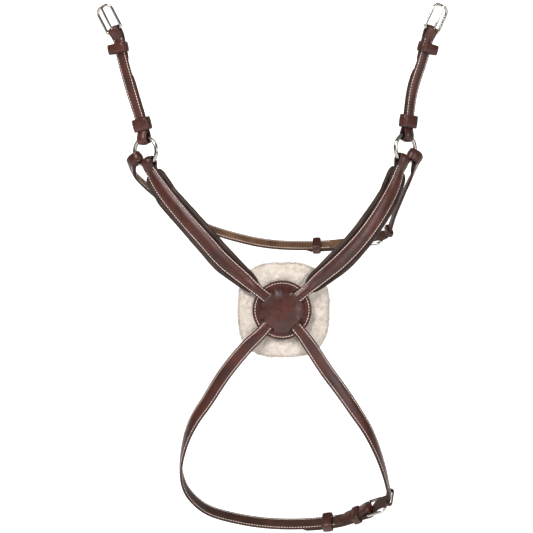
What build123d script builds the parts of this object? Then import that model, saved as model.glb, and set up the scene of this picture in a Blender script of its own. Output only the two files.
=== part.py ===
from build123d import *
import math
import os

# A crossed (figure-eight) noseband, hanging in its worn shape.  Millimetres.
# The origin is the centre of the nose rosette: +X to the right of someone
# facing the horse, +Y back towards the jaw and +Z up.

# ---- driving dimensions -------------------------------------------------------
LEATHER = 2.1             # one layer of strap leather
LAYER_GAP = 0.15          # air between two layers of one strap
FOLD = (LEATHER + LAYER_GAP) / 2      # middle of each layer of a doubled strap
CHEEK_WIDTH = 13.0
JOWL_WIDTH = 13.0
STRAP_AT_RING = 12.0
CHIN_WIDTH = 14.5
BAND_WIDTH = 16.0         # raised band of a nose strap
BAND_AT_RING = 13.0
BAND_AT_ROSETTE = 11.5
LINING_WIDTH = 24.5       # padded lining under the raised band
LINING_THICK = 4.2

RING_WIRE = 4.2           # wire of the round rings
RING_RADIUS = 13.9        # middle of the wire
RING_PLAY = 1.1           # air between the wire and the leather round it

BAR_WIRE = 3.0            # wire of the buckle frames
BAR_PLAY = 0.35           # air between a buckle bar and the leather round it
TONGUE_WIRE = 2.4
BAR_CORNER = 2.4          # bend of the wire at each end of a bar
CHEEK_FRAME_LENGTH = 30.0
STRAP_FRAME_LENGTH = 24.0

CHEEK_BAR_LAP = 38.0      # turned-back end of a cheek strap at its buckle
CHEEK_RING_LAP = 72.0     # and at its ring
JOWL_BAR_LAP = 27.0       # turned-back end of the jowl strap at its buckle
CHIN_BAR_LAP = 34.0
RING_LAP = 30.0           # turned-back end of a nose or jowl strap at its ring
JOWL_TAIL = 78.0          # billet beyond the buckle
CHIN_TAIL = 92.0

OPEN_KEEPER_RISE = 4.2    # room for the headpiece's billet in an upper cheek keeper
OPEN_KEEPER_SIDE = 4.0    # and its slack, pulled outwards
KEEPER_THICK = 1.5
KEEPER_LENGTH = 8.0

ROSETTE_RADIUS = 29.6
RIM_FRONT = -3.2
RIM_BACK = -1.1
DOME_FRONT = -9.6
BACKING_RADIUS = 28.0
PAD_SIZE = (93.0, 96.0)
PAD_THICK = 11.0
PAD_FRONT = 2.6
NOSE_RADIUS = 190.0       # the nose curve, seen from above, at the rosette
CHIN_FLEX_LEVEL = -50.0   # the chin straps bend here, under the pad
CHIN_FLEX_GAP = 1.2
JOWL_FLEX = 33.0          # the jowl strap bends this far from its rings
JOWL_FLEX_GAP = 2.2

STEP_LENGTH = 6.0         # spacing of the cross sections along a strap

RING_CENTRE = dict(left=(-139.0, 50.0, 161.0), right=(126.0, 47.0, 164.0))
RING_FACE = dict(left=(-0.57, -0.82, 0.0), right=(0.66, -0.75, 0.0))
CHEEK_ANGLE = 98.0        # where each strap hangs on its ring, from its inner side
NOSE_ANGLE = -68.0
JOWL_ANGLE = -147.0

# ---- strap routes -------------------------------------------------------------
# Each point is x, y, z, then the way the grain side faces, then the width.
# Routes that end on a ring leave its last points to ring_rows.
CHEEK_LEFT = [
    (-170.4, 50.0, 284.6, -0.57, -0.82, 0.1, CHEEK_WIDTH),
    (-166.2, 50.1, 276.0, -0.57, -0.82, 0.1, CHEEK_WIDTH),
    (-161.5, 50.4, 254.0, -0.57, -0.82, 0.1, CHEEK_WIDTH),
    (-152.5, 50.8, 222.0, -0.57, -0.82, 0.05, CHEEK_WIDTH),
]
CHEEK_RIGHT = [
    (152.4, 47.0, 284.6, 0.62, -0.78, 0.1, CHEEK_WIDTH),
    (148.8, 47.1, 276.2, 0.62, -0.78, 0.1, CHEEK_WIDTH),
    (142.8, 47.4, 254.0, 0.62, -0.78, 0.1, CHEEK_WIDTH),
    (133.4, 48.0, 224.0, 0.64, -0.77, 0.05, CHEEK_WIDTH),
]
NOSE_LEFT = [
    (-9.5, -3.4, 8.0, 0.0, -1.0, 0.0, BAND_AT_ROSETTE),
    (-25.0, -3.5, 20.5, -0.05, -1.0, 0.0, BAND_AT_ROSETTE),
    (-37.0, 0.6, 31.0, -0.2, -1.0, 0.0, 14.0),
    (-59.0, 6.2, 50.0, -0.31, -1.0, 0.0, BAND_WIDTH),
    (-77.0, 12.6, 70.0, -0.4, -1.0, 0.0, BAND_WIDTH),
    (-95.0, 20.7, 90.0, -0.5, -1.0, 0.0, BAND_WIDTH),
    (-110.5, 29.5, 108.5, -0.58, -1.0, 0.0, BAND_WIDTH),
    (-122.5, 37.5, 124.5, -0.65, -1.0, 0.0, 15.5),
]
NOSE_RIGHT = [
    (9.5, -3.4, 8.0, 0.0, -1.0, 0.0, BAND_AT_ROSETTE),
    (25.0, -3.5, 20.5, 0.05, -1.0, 0.0, BAND_AT_ROSETTE),
    (36.0, 0.4, 30.5, 0.2, -1.0, 0.0, 14.0),
    (59.0, 6.2, 50.0, 0.31, -1.0, 0.0, BAND_WIDTH),
    (78.0, 13.0, 70.0, 0.41, -1.0, 0.0, BAND_WIDTH),
    (93.0, 20.3, 90.0, 0.5, -1.0, 0.0, BAND_WIDTH),
    (104.5, 27.7, 108.5, 0.6, -1.0, 0.0, BAND_WIDTH),
    (112.8, 35.6, 124.5, 0.72, -1.0, 0.0, 15.5),
]
CHIN_LEFT = [
    (-9.5, -3.4, -9.5, 0.0, -1.0, 0.0, 12.0),
    (-21.6, -3.5, -23.5, -0.05, -1.0, 0.0, 12.5),
    (-37.0, 2.6, -39.0, -0.22, -0.98, 0.0, 14.0),
    (-57.0, 8.0, -64.0, -0.38, -0.92, 0.0, CHIN_WIDTH),
    (-74.0, 14.0, -91.0, -0.6, -0.8, 0.0, CHIN_WIDTH),
    (-87.0, 21.0, -111.0, -0.78, -0.62, 0.0, CHIN_WIDTH),
    (-96.0, 30.0, -132.0, -0.93, -0.35, 0.0, CHIN_WIDTH),
    (-101.0, 42.0, -156.0, -1.0, -0.05, -0.05, CHIN_WIDTH),
    (-100.0, 54.0, -176.0, -0.97, 0.2, -0.15, CHIN_WIDTH),
    (-92.0, 65.5, -192.5, -0.8, 0.42, -0.42, CHIN_WIDTH),
    (-74.0, 79.0, -208.0, -0.45, 0.6, -0.65, CHIN_WIDTH),
    (-43.0, 91.0, -218.0, -0.18, 0.66, -0.72, CHIN_WIDTH),
    (-11.0, 96.5, -223.0, -0.04, 0.68, -0.73, CHIN_WIDTH),
    (22.0, 96.5, -223.5, 0.04, 0.68, -0.73, CHIN_WIDTH),
    (54.0, 90.5, -220.0, 0.25, 0.66, -0.7, CHIN_WIDTH),
    (74.0, 83.0, -214.0, 0.42, 0.6, -0.68, CHIN_WIDTH),
    (89.0, 74.5, -206.5, 0.5, 0.55, -0.67, CHIN_WIDTH),
]
CHIN_RIGHT = [
    (9.0, -4.6, -10.8, 0.0, -1.0, 0.0, 12.0),
    (20.4, -4.7, -24.6, 0.05, -1.0, 0.0, 12.5),
    (31.0, 0.4, -40.0, 0.2, -0.98, 0.0, 14.0),
    (44.0, 5.2, -60.0, 0.33, -0.93, 0.0, CHIN_WIDTH),
    (59.0, 9.5, -80.5, 0.46, -0.88, 0.0, CHIN_WIDTH),
    (73.0, 14.0, -101.0, 0.6, -0.8, 0.0, CHIN_WIDTH),
    (86.0, 20.0, -121.0, 0.78, -0.62, 0.0, CHIN_WIDTH),
    (96.0, 27.5, -142.0, 0.9, -0.4, 0.0, CHIN_WIDTH),
    (103.5, 36.0, -163.0, 0.97, -0.2, -0.05, CHIN_WIDTH),
    (107.6, 45.5, -178.5, 0.97, 0.05, -0.2, CHIN_WIDTH),
    (110.4, 55.5, -190.5, 0.88, 0.3, -0.35, CHIN_WIDTH),
]
JOWL_LEFT = [
    (-151.5, 73.0, 140.5, -0.93, 0.0, -0.33, JOWL_WIDTH),
    (-142.5, 83.0, 130.5, -0.9, 0.2, -0.38, JOWL_WIDTH),
    (-129.5, 92.0, 119.5, -0.78, 0.4, -0.47, JOWL_WIDTH),
    (-116.0, 101.0, 109.5, -0.62, 0.52, -0.58, JOWL_WIDTH),
    (-98.0, 110.5, 95.5, -0.42, 0.6, -0.67, JOWL_WIDTH),
    (-73.0, 120.0, 83.0, -0.25, 0.66, -0.7, JOWL_WIDTH),
    (-43.0, 128.0, 74.0, -0.12, 0.7, -0.71, JOWL_WIDTH),
    (-16.0, 133.0, 68.5, -0.04, 0.71, -0.71, JOWL_WIDTH),
    (10.0, 135.0, 66.5, 0.0, 0.71, -0.71, JOWL_WIDTH),
    (37.0, 133.5, 66.5, 0.1, 0.7, -0.71, JOWL_WIDTH),
    (63.0, 127.5, 68.5, 0.25, 0.67, -0.7, JOWL_WIDTH),
    (86.0, 117.0, 72.5, 0.42, 0.6, -0.68, JOWL_WIDTH),
]
JOWL_RIGHT = [
    (134.8, 74.0, 138.5, 0.93, 0.0, -0.33, JOWL_WIDTH),
    (128.5, 80.0, 124.5, 0.93, 0.15, -0.35, JOWL_WIDTH),
    (122.5, 86.5, 110.3, 0.88, 0.22, -0.4, JOWL_WIDTH),
    (117.0, 94.5, 96.0, 0.8, 0.3, -0.45, JOWL_WIDTH),
    (112.8, 102.3, 82.3, 0.64, 0.45, -0.6, JOWL_WIDTH),
]


# ---- small vector helpers -------------------------------------------------------
def unit(v):
    return v / v.length


def across(v, along):
    """The part of v square to a unit vector."""
    return unit(v - along * v.dot(along))


def mix(a, b, share):
    return a + (b - a) * share


def spline_row(rows, i, t):
    """A smooth value between rows i and i + 1 (Catmull-Rom)."""
    before = rows[max(i - 1, 0)]
    after = rows[min(i + 2, len(rows) - 1)]
    value = []
    for p0, p1, p2, p3 in zip(before, rows[i], rows[i + 1], after):
        bend = 2 * p0 - 5 * p1 + 4 * p2 - p3
        twist = 3 * p1 - p0 - 3 * p2 + p3
        value.append(0.5 * (2 * p1 + (p2 - p0) * t + bend * t * t + twist * t ** 3))
    return value


def lay(rows, step=STEP_LENGTH):
    """Stations evenly spaced along a route: place, along, out, width."""
    fine = []
    for i in range(len(rows) - 1):
        for k in range(20):
            fine.append(spline_row(rows, i, k / 20))
    fine.append(list(rows[-1]))
    places = [Vector(*row[:3]) for row in fine]
    run = [0.0]
    for a, b in zip(places, places[1:]):
        run.append(run[-1] + (b - a).length)
    count = max(2, round(run[-1] / step))
    stations = []
    k = 0
    for n in range(count + 1):
        goal = run[-1] * n / count
        while k < len(run) - 2 and run[k + 1] < goal:
            k += 1
        share = (goal - run[k]) / (run[k + 1] - run[k])
        row = [mix(a, b, share) for a, b in zip(fine[k], fine[k + 1])]
        place = Vector(*row[:3])
        along = unit(places[k + 1] - places[k])
        stations.append([place, along, across(Vector(*row[3:6]), along), row[6]])
    for n in range(1, count):
        along = unit(stations[n + 1][0] - stations[n - 1][0])
        stations[n][1] = along
        stations[n][2] = across(stations[n][2], along)
    return stations


def reach(stations):
    """Distance along the route of each station."""
    run = [0.0]
    for a, b in zip(stations, stations[1:]):
        run.append(run[-1] + (b[0] - a[0]).length)
    return run


def at(stations, distance):
    """The station at a distance from the start (negative: from the end)."""
    run = reach(stations)
    goal = distance if distance >= 0 else run[-1] + distance
    k = 0
    while k < len(run) - 2 and run[k + 1] < goal:
        k += 1
    share = (goal - run[k]) / (run[k + 1] - run[k])
    a, b = stations[k], stations[k + 1]
    along = unit(mix(a[1], b[1], share))
    return [mix(a[0], b[0], share), along, across(mix(a[2], b[2], share), along), mix(a[3], b[3], share)]


def ease(x):
    x = min(max(x, 0.0), 1.0)
    return x * x * (3 - 2 * x)


def layer(stations, offset):
    """Rows (place, across direction, width) of one layer, offset outwards."""
    rows = []
    run = reach(stations)
    for station, s in zip(stations, run):
        place, along, out, width = station
        side = out.cross(along)
        rows.append((place + out * offset(s, run[-1] - s), side, width))
    return rows


def turn(station, radius, end):
    """Half a turn of leather round a bar at a station, from out to in."""
    place, along, out, width = station
    side = out.cross(along)
    rows = []
    for k in range(1, 8):
        angle = math.pi * k / 8
        spot = place + out * (radius * math.cos(angle)) + along * (end * radius * math.sin(angle))
        rows.append((spot, side, width))
    return rows


def loft_rows(rows, thick):
    """A ruled solid strap through rows, each a flat cross section."""
    wires = []
    for n, (place, side, width) in enumerate(rows):
        ahead = rows[min(n + 1, len(rows) - 1)][0]
        behind = rows[max(n - 1, 0)][0]
        along = unit(ahead - behind)
        plane = Plane(origin=place, x_dir=across(side, along), z_dir=along)
        half, rise = width / 2, thick / 2
        corners = [(-half, -rise), (half, -rise), (half, rise), (-half, rise)]
        wires.append(Wire.make_polygon([plane.from_local_coords(Vector(x, y, 0)) for x, y in corners]))
    return Solid.make_loft(wires, True)


def folded_strap(stations, start=None, end=None, thick=LEATHER, single=FOLD):
    """A strap whose ends turn round a bar and lie back under it.

    start and end are (radius of the turn, length of the turned-back end).
    """
    ease_length = 13.0

    def lift(s, rest):
        value = single
        if start:
            value = max(value, mix(FOLD, start[0], 1 - ease(s / ease_length)))
        if end:
            value = max(value, mix(FOLD, end[0], 1 - ease(rest / ease_length)))
        return value

    rows = layer(stations, lift)
    back = layer(stations, lambda s, rest: -lift(s, rest))
    run = reach(stations)
    if end:
        rows += turn(stations[-1], end[0], 1)
        rows += [row for row, s in zip(back, run) if run[-1] - s <= end[1]][::-1]
    if start:
        first = [row for row, s in zip(back, run) if s <= start[1]][::-1]
        rows = first + turn(stations[0], start[0], -1)[::-1] + rows
    return loft_rows(rows, thick)


def plain_strap(stations, offset, thick, widen=0.0):
    rows = layer(stations, lambda s, rest: offset)
    return loft_rows([(place, side, width + widen) for place, side, width in rows], thick)


def seat(station, shape, end=1):
    """Put a shape on a strap: x over its width, y outwards, z along it or, with end -1, back."""
    place, along, out, width = station
    plane = Plane(origin=place, x_dir=out.cross(along * end), z_dir=along * end)
    return plane.location * shape


def keeper(station, low, high, play=0.5, length=KEEPER_LENGTH, slack=0.0):
    """A leather loop round a strap, from low to high in its thickness.

    slack widens it to one side: to the right of the strap if it is positive.
    """
    width = station[3] + 2 * play + abs(slack)
    height = high - low
    outer = Box(width + 2 * KEEPER_THICK, height + 2 * KEEPER_THICK, length)
    loop = outer - Box(width, height, length * 2)
    loop = fillet(loop.edges().filter_by(Axis.Z), 0.6)
    return seat(station, Pos(slack / 2, (low + high) / 2, 0) * loop)


def frame_outline(width, length, radius):
    """A closed wire path: straight bar at z = 0, rounded far end."""
    half = width / 2
    corner = BAR_CORNER
    line = Line((-half + corner, 0), (half - corner, 0))
    line += RadiusArc((half - corner, 0), (half, corner), -corner)
    line += Line((half, corner), (half, length - radius))
    line += RadiusArc((half, length - radius), (half - radius, length), -radius)
    line += Line((half - radius, length), (-half + radius, length))
    line += RadiusArc((-half + radius, length), (-half, length - radius), -radius)
    line += Line((-half, length - radius), (-half, corner))
    line += RadiusArc((-half, corner), (-half + corner, 0), -corner)
    return line


def buckle_frame(strap_width, outside_length):
    """A wire frame in the XZ plane with its bar on the X axis."""
    width = strap_width + 2.0 + BAR_WIRE
    length = outside_length - BAR_WIRE
    path = frame_outline(width, length, width * 0.36)
    flat = Plane.XZ * path
    start = flat.wire() @ 0
    heading = flat.wire() % 0
    section = Plane(origin=start, z_dir=heading) * Circle(BAR_WIRE / 2)
    return sweep(section, path=flat.wire(), transition=Transition.ROUND)


def tongue(reach_length, rest_height):
    """A prong: a loop round the bar, and a shank out to the frame's far end."""
    loop_mid = BAR_WIRE / 2 + 0.3 + TONGUE_WIRE / 2
    ring = Rot(0, 90, 0) * Torus(loop_mid, TONGUE_WIRE / 2)
    tip = (0, rest_height, reach_length)
    shank_path = Spline((0, loop_mid, 0.6), (0, loop_mid + 0.8, reach_length * 0.45), tip,
                        tangents=((0, 0.25, 1), (0, -0.12, 1)))
    start = Plane(origin=(0, loop_mid, 0.6), z_dir=(0, 0.25, 1))
    shank = sweep(start * Circle(TONGUE_WIRE / 2), path=shank_path)
    shank = fillet(shank.edges().sort_by(Axis.Z)[-1], 0.8)
    return ring + shank


def save(shape, name):
    solids = shape.solids()
    export_step(solids[0] if len(solids) == 1 else shape, "parts/" + name + ".step")


# ---- sub-parts ------------------------------------------------------------------
RING_TURN = RING_WIRE / 2 + RING_PLAY + LEATHER / 2
BAR_TURN = BAR_WIRE / 2 + BAR_PLAY + LEATHER / 2
CREW_WIDTH = TONGUE_WIRE + 2.0        # slot in the leather for the tongue
TONGUE_HOLE_LENGTH = 12.5             # hole of a billet that is in use
TONGUE_HOLE_AHEAD = 6.7               # its middle, past the end of the strap
FRAME_RISE = 3.0          # how far a fastened frame's far end stands out
BILLET = 2.4              # thickness of a billet
TAIL = FOLD + LEATHER / 2 + 0.15 + BILLET / 2     # middle of a billet on its strap
OVER_BAR = BAR_TURN + LEATHER / 2 + 0.6 + BILLET / 2
SIDES = ("left", "right")


def crew_slot():
    """The gap in a turned end where a tongue goes round its bar."""
    return Pos(0, 0, 0.4) * Box(CREW_WIDTH, 4 * BAR_TURN, 15.4)


def cheek_strap(stations):
    strap = folded_strap(stations, start=(BAR_TURN, CHEEK_BAR_LAP), end=(RING_TURN, CHEEK_RING_LAP))
    return strap - seat(stations[0], crew_slot(), -1)


def cheek_keepers(stations, side):
    """The upper one stands open for the headpiece's billet; the lower one is snug."""
    low = -FOLD - LEATHER / 2 - 0.1
    high = FOLD + LEATHER / 2
    slack = OPEN_KEEPER_SIDE * (-1 if side == "left" else 1)
    upper = keeper(at(stations, 19.0), low, high + OPEN_KEEPER_RISE, length=10.0, slack=slack)
    save(upper, "cheek_keeper_upper_" + side)
    lower = keeper(at(stations, -15.5), low - 1.1, high + 2.2, play=2.0, length=13.0)
    save(lower, "cheek_keeper_lower_" + side)


def ring(side):
    plane = Plane(origin=RING_CENTRE[side], z_dir=RING_FACE[side])
    return plane.location * Torus(RING_RADIUS, RING_WIRE / 2)


def ring_rows(side, angle, width, leads):
    """Route rows from a ring outwards: the seat on its wire, then each lead away."""
    centre = Vector(*RING_CENTRE[side])
    face = unit(Vector(*RING_FACE[side]))
    inner = face.cross(Vector(0, 0, 1)) * (-1 if side == "left" else 1)
    turn_angle = math.radians(angle)
    radial = inner * math.cos(turn_angle) + Vector(0, 0, math.sin(turn_angle))
    seat_radius = math.sqrt(RING_RADIUS ** 2 - (width / 2) ** 2)
    rows = []
    for lead in (0.0,) + leads:
        spot = centre + radial * (seat_radius + lead)
        rows.append((spot.X, spot.Y, spot.Z, face.X, face.Y, face.Z, width))
    return rows


def part_of(stations, start, rest):
    """The stations between two distances from the ends."""
    run = reach(stations)
    last = run[-1] - rest
    inner = [s for s, d in zip(stations, run) if start + 1.5 < d < last - 1.5]
    return [at(stations, start)] + inner + [at(stations, last)]


def nose_strap(stations):
    """The raised band: one layer of leather, turned round the ring."""
    return folded_strap(stations, end=(RING_TURN, RING_LAP))


def nose_lining(stations):
    """The padded lining under the band, thinner towards the rosette."""
    piece = part_of(stations, 22.0, 9.0)
    run = reach(piece)
    rows = []
    for station, s in zip(piece, run):
        place, along, out, width = station
        rest = run[-1] - s + 9.0
        under = mix(FOLD, RING_TURN, 1 - ease(rest / 13.0)) + LEATHER / 2 + 0.3
        top = mix(under, 0.15, ease((rest - 31.0) / 12.0))
        wide = mix(17.5, LINING_WIDTH, ease(s / 60.0))
        rows.append((place - out * (top + LINING_THICK / 2), out.cross(along), wide))
    return loft_rows(rows, LINING_THICK)


def rosette():
    """A leather disc with a flat rim, a raised middle and four openings."""
    shape = Polyline((0, RIM_BACK), (ROSETTE_RADIUS, RIM_BACK), (ROSETTE_RADIUS, RIM_FRONT),
                     (22.5, RIM_FRONT), (19.5, -5.6))
    shape += Spline((19.5, -5.6), (11.0, DOME_FRONT + 0.5), (0, DOME_FRONT))
    shape += Line((0, DOME_FRONT), (0, RIM_BACK))
    disc = revolve(make_face(shape), axis=Axis.Y)
    disc -= Pos(0, -3.6, 0) * Rot(90, 0, 0) * Cylinder(17.0, 5.2)
    for angle in (40.0, 140.0, 228.0, 312.0):
        run = Pos(20.0, -4.65, 0) * Box(24.0, 2.9, 14.0)
        disc -= Rot(0, -angle, 0) * run
    return disc


def rosette_backing():
    return Pos(0, 0.1, 0) * Rot(90, 0, 0) * Cylinder(BACKING_RADIUS, 1.8)


def nose_pad():
    """The sheepskin: a rounded square, curved over the nose."""
    half = PAD_SIZE[0] / 2
    sag = half * half / (2 * NOSE_RADIUS)
    back = PAD_FRONT + PAD_THICK
    edge = ThreePointArc((-half, PAD_FRONT + sag), (0, PAD_FRONT), (half, PAD_FRONT + sag))
    edge += Line((half, PAD_FRONT + sag), (half, back + sag))
    edge += ThreePointArc((half, back + sag), (0, back), (-half, back + sag))
    edge += Line((-half, back + sag), (-half, PAD_FRONT + sag))
    slab = extrude(make_face(edge), PAD_SIZE[1] / 2, both=True)
    outline = Plane.XZ * RectangleRounded(PAD_SIZE[0], PAD_SIZE[1], 36.0)
    return Pos(1.5, 0, 0) * (slab & extrude(outline, 40.0, both=True))


def local_row(station, rise, ahead):
    """A route row beside a station: out by rise, further along by ahead."""
    place, along, out, width = station
    spot = place + out * rise + along * ahead
    return (spot.X, spot.Y, spot.Z, out.X, out.Y, out.Z, width)


def billet_stations(own, strap, tail):
    """A billet's way down, through the buckle at the strap's end, and its tail."""
    end = strap[-1]
    rows = list(own)
    for rise, ahead in ((-0.4, 26.0), (-0.4, 19.0), (0.1, 12.5), (2.9, 6.8), (OVER_BAR, 1.0)):
        rows.append(local_row(end, rise, ahead))
    for back in range(8, int(tail), 12):
        rise = mix(OVER_BAR, TAIL, ease(back / 14.0))
        rows.append(local_row(at(strap, -back), rise, 0.0))
    return lay(rows, 3.0)


def billet_holes(strap, tail):
    """The hole in use, long enough for the tongue, and the round ones beside it."""
    end = strap[-1]
    hole = extrude(Plane.XZ * SlotOverall(TONGUE_HOLE_LENGTH, CREW_WIDTH, rotation=90), 8.0, both=True)
    cutters = [seat(end, Pos(0, 0, TONGUE_HOLE_AHEAD) * hole)]
    for back in (16.0, 34.0):
        spot = at(strap, -back)
        cutters.append(seat(spot, Pos(0, TAIL + 3.0, 0) * Rot(90, 0, 0) * Cylinder(1.4, 8.4)))
    return cutters


def strap_frame(station):
    tilt = math.degrees(math.atan2(FRAME_RISE, STRAP_FRAME_LENGTH - BAR_WIRE))
    return seat(station, Rot(-tilt, 0, 0) * buckle_frame(station[3], STRAP_FRAME_LENGTH))


def strap_tongue(station):
    far = STRAP_FRAME_LENGTH - BAR_WIRE
    return seat(station, tongue(far + 0.8, FRAME_RISE + BAR_WIRE / 2 + TONGUE_WIRE / 2 + 0.1))


def buckled_strap(name, long_way, billet_way, tail, lap, ring_end):
    """A strap fastened with its buckle: strap, billet, frame, tongue and keepers."""
    strap = lay(long_way)
    start = (RING_TURN, RING_LAP) if ring_end else None
    body = folded_strap(strap, start=start, end=(BAR_TURN, lap))
    body -= seat(strap[-1], crew_slot())
    way = billet_stations(billet_way, strap, tail)
    if ring_end:
        billet = billet_with_ring(way)
    else:
        billet = plain_strap(way, 0.0, BILLET)
    for cutter in billet_holes(strap, tail):
        billet -= cutter
    save(strap_frame(strap[-1]), name + "_buckle")
    save(strap_tongue(strap[-1]), name + "_tongue")
    low = -FOLD - LEATHER / 2 - 0.2
    high = TAIL + BILLET / 2 + 0.2
    save(keeper(at(strap, -15.0), low - 0.2, high + 0.5), name + "_keeper")
    front = strap[-1][0] + strap[-1][1] * 34.0
    nearest = min(way, key=lambda station: (station[0] - front).length)
    save(keeper(nearest, -BILLET / 2 - 1.0, BILLET / 2 + 1.0, 0.9, 5.0), name + "_front_keeper")
    return strap, body, billet


def billet_with_ring(way):
    """A billet whose near end is turned round a ring."""
    rows = layer(way, lambda s, rest: RING_TURN - RING_TURN * ease(s / 16.0))
    back = layer(way, lambda s, rest: -RING_TURN + (RING_TURN - BILLET - 0.15) * ease(s / 16.0))
    run = reach(way)
    tail = [row for row, s in zip(back, run) if s <= RING_LAP][::-1]
    return loft_rows(tail + turn(way[0], RING_TURN, -1)[::-1] + rows, BILLET)


def save_bending(strap, name, place, along, gap):
    """Save a strap as the root that stays and the part that bends away past a place."""
    size = 700.0
    plane = Plane(origin=place, z_dir=along)
    root = plane.location * Pos(0, 0, -(gap + size) / 2) * Box(size, size, size)
    moving = plane.location * Pos(0, 0, (gap + size) / 2) * Box(size, size, size)
    save(pick(strap & root, place), name + "_root")
    save(pick(strap & moving, place), name)


def pick(shape, place):
    """The solid of a shape that comes nearest to a place."""
    return min(shape.solids(), key=lambda solid: solid.distance_to(Vertex(*place)))


# ---- the noseband ---------------------------------------------------------------
os.makedirs("parts", exist_ok=True)

cheeks = {}
noses = {}
jowls = {}
for side, cheek, nose, jowl in (("left", CHEEK_LEFT, NOSE_LEFT, JOWL_LEFT),
                                ("right", CHEEK_RIGHT, NOSE_RIGHT, JOWL_RIGHT)):
    cheeks[side] = lay(cheek + ring_rows(side, CHEEK_ANGLE, STRAP_AT_RING, (14.0,))[::-1])
    noses[side] = lay(nose + ring_rows(side, NOSE_ANGLE, BAND_AT_RING, (10.0,))[::-1])
    jowls[side] = ring_rows(side, JOWL_ANGLE, STRAP_AT_RING, (9.0,)) + jowl

for side in SIDES:
    save(cheek_strap(cheeks[side]), "cheek_strap_" + side)
    cheek_keepers(cheeks[side], side)
    top = cheeks[side][0]
    save(seat(top, buckle_frame(CHEEK_WIDTH, CHEEK_FRAME_LENGTH), -1), "cheek_buckle_" + side)
    prong = tongue(CHEEK_FRAME_LENGTH - BAR_WIRE + 0.8, BAR_WIRE / 2 + TONGUE_WIRE / 2 + 0.1)
    save(seat(top, prong, -1), "cheek_tongue_" + side)
    save(ring(side), "ring_" + side)
    save(nose_strap(noses[side]), "nose_strap_" + side)
    save(nose_lining(noses[side]), "nose_lining_" + side)

save(rosette(), "rosette")
save(rosette_backing(), "rosette_backing")
save(nose_pad(), "nose_pad")

jowl, jowl_body, jowl_billet = buckled_strap("jowl", jowls["left"], jowls["right"], JOWL_TAIL,
                                              JOWL_BAR_LAP, True)
billet_way = lay(jowls["right"])
for name, strap, way in (("jowl_strap", jowl_body, jowl), ("jowl_billet", jowl_billet, billet_way)):
    bend = at(way, JOWL_FLEX)
    save_bending(strap, name, bend[0], bend[1], JOWL_FLEX_GAP)
save(keeper(at(jowl, -52.0), -FOLD - LEATHER / 2 - 0.5, TAIL + BILLET / 2 + 0.5), "jowl_runner")

chin, chin_body, chin_billet = buckled_strap("chin", CHIN_LEFT, CHIN_RIGHT, CHIN_TAIL,
                                              CHIN_BAR_LAP, False)
for name, strap in (("chin_strap", chin_body), ("chin_billet", chin_billet)):
    save_bending(strap, name, Vector(0, 0, CHIN_FLEX_LEVEL), Vector(0, 0, -1), CHIN_FLEX_GAP)
save(keeper(at(chin, -47.5), -FOLD - LEATHER / 2 - 0.6, TAIL + BILLET / 2 + 0.7, 1.2, 10.0), "chin_runner")
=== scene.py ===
import math
import random

import bpy
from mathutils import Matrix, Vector, noise


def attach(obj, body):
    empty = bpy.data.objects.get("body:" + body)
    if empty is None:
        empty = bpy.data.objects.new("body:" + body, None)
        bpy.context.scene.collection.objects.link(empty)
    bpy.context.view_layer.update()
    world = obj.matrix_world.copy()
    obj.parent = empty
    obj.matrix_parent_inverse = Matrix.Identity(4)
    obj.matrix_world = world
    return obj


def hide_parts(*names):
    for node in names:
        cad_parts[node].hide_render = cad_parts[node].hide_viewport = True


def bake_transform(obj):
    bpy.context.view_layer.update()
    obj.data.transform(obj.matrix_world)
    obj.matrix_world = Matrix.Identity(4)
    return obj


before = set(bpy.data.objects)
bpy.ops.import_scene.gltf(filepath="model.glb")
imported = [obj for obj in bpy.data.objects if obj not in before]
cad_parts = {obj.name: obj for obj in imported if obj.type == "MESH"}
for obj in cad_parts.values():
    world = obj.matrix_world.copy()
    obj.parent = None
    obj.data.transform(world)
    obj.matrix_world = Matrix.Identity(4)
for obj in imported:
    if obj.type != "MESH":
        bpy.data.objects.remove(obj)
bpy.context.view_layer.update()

MM = 0.001        # the strap patterns below are in millimetres

# ---- strap leather, as in the frame ----
LEATHER = 2.1
LAYER_GAP = 0.15
FOLD = (LEATHER + LAYER_GAP) / 2
CHEEK_WIDTH = 13.0
JOWL_WIDTH = 13.0
STRAP_AT_RING = 12.0
CHIN_WIDTH = 14.5
BAND_WIDTH = 16.0
BAND_AT_RING = 13.0
BAND_AT_ROSETTE = 11.5
LINING_WIDTH = 24.5
LINING_THICK = 4.2
RING_WIRE = 4.2
RING_RADIUS = 13.9
RING_PLAY = 1.1
RING_TURN = RING_WIRE / 2 + RING_PLAY + LEATHER / 2
BAR_RADIUS = 1.5
BAR_PLAY = 0.35
BAR_TURN = BAR_RADIUS + BAR_PLAY + LEATHER / 2
BILLET = 2.4
TAIL = FOLD + LEATHER / 2 + LAYER_GAP + BILLET / 2
OVER_BAR = BAR_TURN + LEATHER / 2 + 0.6 + BILLET / 2
CREW_WIDTH = 4.4
TONGUE_HOLE_LENGTH = 12.5
TONGUE_HOLE_AHEAD = 6.7
CHEEK_BAR_LAP = 38.0
CHEEK_RING_LAP = 72.0
JOWL_BAR_LAP = 27.0
CHIN_BAR_LAP = 34.0
RING_LAP = 30.0
JOWL_TAIL = 78.0
CHIN_TAIL = 92.0
OPEN_KEEPER_RISE = 4.2
OPEN_KEEPER_SIDE = 4.0

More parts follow.
